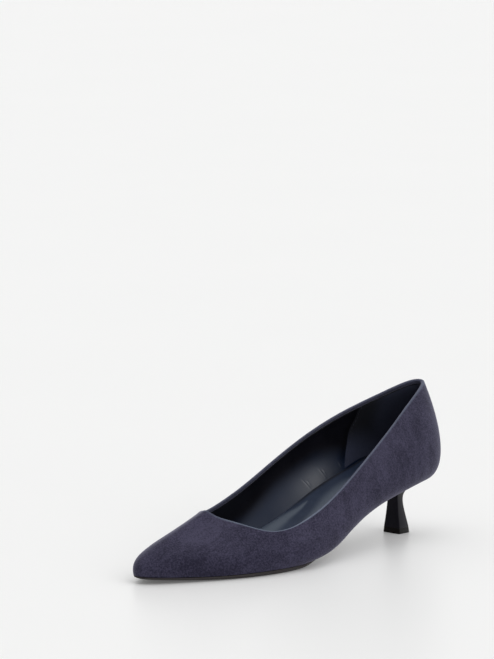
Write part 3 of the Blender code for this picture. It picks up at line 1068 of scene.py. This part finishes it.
def make_lining():
    """The lining: a thin leather wall inside the suede, from under the sock to the fold."""
    u = np.sort(np.concatenate([ring_places(), CREASED_PLACES]))
    top = levels_below_topline(u, [FOLD_LENGTH + 0.0002])[0]
    foot = levels_at_rise(u, LINING_FOOT, WALL)
    share = np.linspace(0, 1, LINING_STEPS)[:, None]
    levels = foot + (top - foot) * share
    creases = creased(u, levels)
    ripple = bumps(wall(u[None], levels, WALL), LINING_RELIEF) * smooth(1 - share, 0.0, 0.1)
    inner = wall(u[None], levels, WALL + ripple + CREASE_DEPTH * creases)
    outer = wall(u[None], levels[::8], SUEDE_DEPTH + 0.00005)
    lip = wall(u, top + 0.002, (WALL + SUEDE_DEPTH) / 2)
    rings = [*inner, lip, *outer[::-1]]
    unseen = np.zeros((len(rings) - len(inner), len(u)))
    marks = lining_marks(u, levels, creases)
    marks = {name: np.concatenate([values, unseen]) for name, values in marks.items()}
    return shell("lining", rings, make_lining_leather(), marks)


def grip_grid():
    """Ring places and levels of a grid over the heel grip, one row for each level share."""
    levels_across, places_across = GRIP_STEPS
    share = np.linspace(0, 1, places_across)
    guess = BACK + (share - 0.5) * 2 * GRIP_REACH
    top = levels_below_topline(guess, [FOLD_LENGTH + 0.0005])[0]
    foot = levels_at_rise(guess, sock_rise(handles_at(guess)[:, 0, 0]) - 0.0008, WALL)
    rows = np.linspace(0, 1, levels_across)[:, None]
    level = foot + (top - foot) * rows
    reach = grip_front(level) - BACK
    return BACK + (share[None] - 0.5) * 2 * reach, level


def make_heel_grip():
    """The soft grip inside the back: a thin panel over the lining, its free edges pressed down."""
    u, level = grip_grid()
    rows, columns = u.shape
    from_top = np.arange(rows)[::-1, None]
    from_front = np.minimum(np.arange(columns), np.arange(columns)[::-1])[None]
    pressed = smooth(np.minimum(from_top * 1.4, from_front), 0, 2.5)
    ripple = bumps(wall(u, level), GRIP_RELIEF)
    top = wall(u, level, WALL + 0.00008 + GRIP_RISE * pressed + ripple)
    under = wall(u, level, WALL + 0.00002)
    points = np.concatenate([top.reshape(-1, 3), under.reshape(-1, 3)])
    grid = np.arange(rows * columns).reshape(rows, columns)
    rim = np.concatenate([grid[0], grid[1:, -1], grid[-1, -2::-1], grid[-2::-1, 0]])
    faces = grid_faces(grid) + grid_faces(grid.size + grid.T)
    faces += grid_faces(np.stack([rim, grid.size + rim]))
    # lighter and bluer low down and towards the back
    low, back = 1 - smooth(level, 0.42, 0.78), 1 - smooth(np.abs(u - BACK), 1.6, 2.3)
    paler_low_and_back = np.maximum(low, 0.62 * back)
    marks = {"paler_low_and_back": np.array([paler_low_and_back, paler_low_and_back])}
    return finish_mesh("heel_grip", points, faces, make_grip_leather(), marks)


def make_stitch_tree():
    """Geometry Nodes: a row of sunk stitches along the edges of a guide mesh."""
    tree = bpy.data.node_groups.new("Row of stitches", "GeometryNodeTree")
    face = tree.interface
    face.new_socket("Geometry", in_out="INPUT", socket_type="NodeSocketGeometry")
    for title, value in (("Pitch", 0.0022), ("Stitch Length", 0.0017), ("Thread", 0.00034)):
        face.new_socket(title, in_out="INPUT", socket_type="NodeSocketFloat").default_value = value
    face.new_socket("Material", in_out="INPUT", socket_type="NodeSocketMaterial")
    face.new_socket("Geometry", in_out="OUTPUT", socket_type="NodeSocketGeometry")
    given = tree.nodes.new("NodeGroupInput").outputs
    path = node(tree, "GeometryNodeMeshToCurve", {"Mesh": given["Geometry"]}).outputs["Curve"]
    inputs = {"Curve": path, "Length": given["Pitch"]}
    spots = node(tree, "GeometryNodeCurveToPoints", inputs, mode="LENGTH").outputs
    inputs = {"Vector": spots["Tangent"]}
    turn = node(tree, "FunctionNodeAlignRotationToVector", inputs, axis="X").outputs["Rotation"]
    inputs = {"Segments": 10, "Rings": 8, "Radius": 0.5}
    bead = node(tree, "GeometryNodeMeshUVSphere", inputs).outputs["Mesh"]
    inputs = {"X": given["Stitch Length"], "Y": given["Thread"], "Z": given["Thread"]}
    size = node(tree, "ShaderNodeCombineXYZ", inputs).outputs["Vector"]
    inputs = {"Points": spots["Points"], "Instance": bead, "Rotation": turn, "Scale": size}
    row = node(tree, "GeometryNodeInstanceOnPoints", inputs).outputs["Instances"]
    real = node(tree, "GeometryNodeRealizeInstances", {"Geometry": row}).outputs["Geometry"]
    even = node(tree, "GeometryNodeSetShadeSmooth", {"Geometry": real}).outputs["Geometry"]
    done = node(tree, "GeometryNodeSetMaterial", {"Geometry": even, "Material": given["Material"]})
    end = tree.nodes.new("NodeGroupOutput")
    tree.links.new(done.outputs["Geometry"], end.inputs["Geometry"])
    return tree


def stitched(name, paths, thread, **sizes):
    """Rows of stitches along open paths of points in the last's frame, made one plain mesh."""
    points = np.concatenate(paths)
    edges, start = [], 0
    for path in paths:
        edges += [(start + i, start + i + 1) for i in range(len(path) - 1)]
        start += len(path)
    guide = bpy.data.meshes.new(name + "_guide")
    guide.from_pydata([tuple(point) for point in placed(points)], edges, [])
    piece = bpy.data.objects.new(name, guide)
    bpy.context.scene.collection.objects.link(piece)
    modifier = piece.modifiers.new("stitches", "NODES")
    modifier.node_group = make_stitch_tree()
    values = {title.replace("_", " "): value for title, value in sizes.items()}
    values["Material"] = thread
    for item in modifier.node_group.interface.items_tree:
        if item.item_type == "SOCKET" and item.in_out == "INPUT" and item.name in values:
            modifier[item.identifier] = values[item.name]
    bpy.context.view_layer.update()
    graph = bpy.context.evaluated_depsgraph_get()
    data = bpy.data.meshes.new_from_object(piece.evaluated_get(graph))
    piece.modifiers.remove(modifier)
    piece.data = data
    data.name = name
    bpy.data.meshes.remove(guide)
    return piece


def make_grip_stitches():
    """The row of stitches that holds the heel grip's front edge, on both sides."""
    level = np.linspace(*STITCH_LEVELS, 120)
    paths = []
    for side in (1, -1):
        place = BACK + side * (grip_front(level) - BACK - STITCH_INSET)
        paths.append(wall(place, level, WALL + GRIP_RISE + 0.00010))
    sizes = {"Pitch": 0.0022, "Stitch_Length": 0.0016, "Thread": 0.0003}
    return stitched("grip_stitches", paths, make_thread(), **sizes)


def sock_rise(s):
    """How high the sock's edge stands over the feather edge: low in front, built up behind the ball."""
    forward = smooth(np.asarray(s) / LENGTH, *FOOTBED_FADE)
    return FOOTBED_THICKNESS + (SOCK_THICKNESS - FOOTBED_THICKNESS) * forward


def make_sock():
    """The sock on its board: a leather foot-bed, its edge turned down and its middle hollowed."""
    u = ring_places()
    depth = WALL + 0.0002
    rise = sock_rise(handles_at(u)[:, 0, 0])
    rings = []
    for share in (0.0, 0.15, 0.35, 0.6):
        rings.append(wall(u, levels_at_rise(u, share * rise, depth), depth))
    for drop, inset in SOCK_EDGE:
        ring = wall(u, levels_at_rise(u, rise - drop, depth), depth)
        ring[:, :2] -= inset * outward(ring[:, 0], ring[:, 1])
        rings.append(ring)

    def hollow(share, along):
        front, more = SOCK_HOLLOW
        bowl = 1 - np.abs(2 * share - 1) ** 2.2
        return (front + more * smooth(along, 0.35, 0.6)) * bowl

    # painted highlight on the sock, and painted shade in the crevice round it
    def painted_light_marks(points):
        worn = np.max([highlight_along(points, path) for path in SOCK_HIGHLIGHT_BANDS], axis=0)
        gap = np.linalg.norm(points[:, None, :2] - rings[-1][None, :, :2], axis=2).min(1)
        behind = 1 - smooth(points[:, 0], *CREVICE_FADE)
        return {"worn": worn, "crevice": behind * (1 - smooth(gap, *CREVICE_REACH))}

    return plate("sock", rings, make_sock_leather(), 60, flat, hollow, marks_at=painted_light_marks)


def make_sole():
    """The thin sole: a flat tread, a rounded bevel and an upright edge along the feather line."""
    u = ring_places()
    outline = handles_at(u)[:, 0]
    away = outward(outline[:, 0], outline[:, 1])
    rings = []
    for inset, share in SOLE_PROFILE:
        ring = outline.copy()
        ring[:, :2] += (SOLE_MARGIN - inset) * away
        ring[:, 2] = tread_height(ring[:, 0]) + share * sole_thickness(ring[:, 0])
        rings.append(ring)
    return plate("sole", rings, make_sole_rubber(), 24, flat, flat, sharp=40.0)


def rounded_oblong(across, front, back, radius, height, steps=6):
    """Points round an oblong with rounded corners at one height."""
    half = across / 2
    corners = (
        (front - radius, half - radius, 0.0),
        (back + radius, half - radius, 0.5),
        (back + radius, radius - half, 1.0),
        (front - radius, radius - half, 1.5),
    )
    points = []
    for s, y, turn in corners:
        for a in np.linspace(turn, turn + 0.5, steps + 1) * np.pi:
            points.append((s + radius * np.cos(a), y + radius * np.sin(a), height))
    return np.array(points)


def heel_ring(height, inset=0.0):
    """Points round the heel at a height, smooth through its sections and drawn in by inset."""
    knots = [row.height * HEEL_HEIGHT for row in HEEL]
    rows = [[row.across, row.front, row.back] for row in HEEL]
    across, front, back = spline(knots, rows, height)
    return rounded_oblong(across - 2 * inset, front - inset, back + inset, HEEL_CORNER, height)


def stack(name, rings, finish):
    """A closed block from rings of points, its two ends filled and its front face marked."""
    rings = np.asarray(rings)
    count = rings.shape[1]
    faces = ring_faces(len(rings), count, join_ends=False)
    last = (len(rings) - 1) * count
    faces.append(tuple(range(count)))
    faces.append(tuple(last + i for i in range(count)))
    behind = rings[..., 0].max(1, keepdims=True) - rings[..., 0]
    # the front face is marked so its coat is left off, as painted shade
    marks = {"front": 1 - smooth(behind / HEEL_CORNER, 0.0, 1.6)}
    return finish_mesh(name, rings.reshape(-1, 3), faces, finish, marks, sharp=40.0)


def make_heel():
    """The flared heel: four-sided with crisp rounded edges, its top cut to the sole above."""
    base, top = LIFT_THICKNESS + 0.00004, HEEL[-1].height * HEEL_HEIGHT
    rings = [heel_ring(base + lift, inset) for inset, lift in HEEL_FOOT]
    for height in np.linspace(base + 0.001, top, HEEL_STEPS):
        ring = heel_ring(height)
        cut = smooth(height, HEEL_CUT * HEEL_HEIGHT, top)
        ring[:, 2] += cut * (tread_height(ring[:, 0]) - GAP - top)
        rings.append(ring)
    return stack("heel_block", rings, make_heel_lacquer())


def make_top_lift():
    """The wearing tip under the heel, its edges a little rounded."""
    rings = [heel_ring(height, inset) for inset, height in LIFT_PROFILE]
    return stack("heel_tip", rings, make_lift_rubber())


def make_floor():
    """A wide pale floor under the shoe, which isn't part of it."""
    data = bpy.data.meshes.new("floor")
    reach = 14.0
    corners = [(-reach, -reach, 0), (reach, -reach, 0), (reach, reach, 0), (-reach, reach, 0)]
    data.from_pydata(corners, [], [(0, 1, 2, 3)])
    data.materials.append(make_floor_paper())
    floor = bpy.data.objects.new("floor", data)
    bpy.context.scene.collection.objects.link(floor)


def add_broad_light(name, bearing, height, spread, strength):
    """Even light from a wide bright patch far off, at a bearing from the camera's right."""
    light = bpy.data.lights.new(name, "SUN")
    light.angle = np.radians(spread)
    light.energy = strength
    turn, tilt = np.radians(VIEW_AZIMUTH + bearing), np.radians(height)
    away = Vector((np.cos(turn) * np.cos(tilt), np.sin(turn) * np.cos(tilt), np.sin(tilt)))
    lamp = bpy.data.objects.new(name, light)
    lamp.rotation_euler = (-away).to_track_quat("-Z", "Y").to_euler()
    bpy.context.scene.collection.objects.link(lamp)


def light_the_stage():
    """A white room, lighter overhead, with a wide bright side light on the camera's right."""
    scene = bpy.context.scene
    scene.view_settings.view_transform = "Standard"
    world = bpy.data.worlds.new("white studio")
    world.use_nodes = True
    scene.world = world
    tree = world.node_tree
    tree.nodes.clear()
    where = tree.nodes.new("ShaderNodeTexCoord").outputs["Generated"]
    height = node(tree, "ShaderNodeSeparateXYZ", {"Vector": where}).outputs["Z"]
    turn = np.radians(VIEW_AZIMUTH)
    behind = (-np.sin(turn), np.cos(turn), 0.0)
    inputs = {0: where, 1: behind}
    facing = node(tree, "ShaderNodeVectorMath", inputs, operation="DOT_PRODUCT").outputs["Value"]
    room = mixed(tree, spread_out(tree, height, 0.0, 0.9), (0.32, 0.32, 0.32), (0.60, 0.60, 0.595))
    glow = mixed(tree, spread_out(tree, facing, 0.05, 0.75), room, (0.95, 0.95, 0.945))
    seen = tree.nodes.new("ShaderNodeLightPath").outputs["Is Camera Ray"]
    colour = mixed(tree, seen, glow, (0.866, 0.867, 0.858))
    sky = node(tree, "ShaderNodeBackground", {"Color": colour, "Strength": 1.0})
    end = tree.nodes.new("ShaderNodeOutputWorld")
    tree.links.new(sky.outputs["Background"], end.inputs["Surface"])
    add_broad_light("overhead", bearing=75.0, height=82.0, spread=60.0, strength=0.72)
    add_broad_light("side window", bearing=-42.0, height=38.0, spread=50.0, strength=0.84)


def set_camera():
    """The photograph's viewing angle, through a long lens, with no shift."""
    turn, tilt = np.radians(VIEW_AZIMUTH), np.radians(VIEW_ELEVATION)
    back = Vector((np.sin(turn) * np.cos(tilt), -np.cos(turn) * np.cos(tilt), np.sin(tilt)))
    right = Vector((np.cos(turn), np.sin(turn), 0.0))
    up = back.cross(right)
    sideways = (FRAME_PIXELS[0] / 2 - AIM_PIXEL[0]) / FOCAL_PIXELS
    upward = (AIM_PIXEL[1] - FRAME_PIXELS[1] / 2) / FOCAL_PIXELS
    lens = bpy.data.cameras.new("camera")
    lens.sensor_width = 36.0
    lens.lens = FOCAL_PIXELS * lens.sensor_width / max(FRAME_PIXELS)
    camera = bpy.data.objects.new("camera", lens)
    camera.location = Vector(AIM) + back * VIEW_DISTANCE
    camera.rotation_euler = (right * sideways + up * upward - back).to_track_quat("-Z", "Y").to_euler()
    bpy.context.scene.collection.objects.link(camera)
    bpy.context.scene.camera = camera


def fit(piece, stands_for=None):
    """A piece carried by the shoe, with the solid that it stands for hidden."""
    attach(piece, "root")
    if stands_for:
        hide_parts(stands_for)
    return piece


def make_shoe():
    """Every piece, each carried by the shoe's one body."""
    fit(make_upper(), "upper")
    fit(make_lining())
    fit(make_heel_grip())
    fit(make_grip_stitches())
    sock = fit(make_sock(), "insole")
    fit(make_sole(), "outsole")
    fit(make_heel(), "heel")
    fit(make_top_lift(), "top_lift")


set_camera()
make_shoe()
make_floor()
light_the_stage()
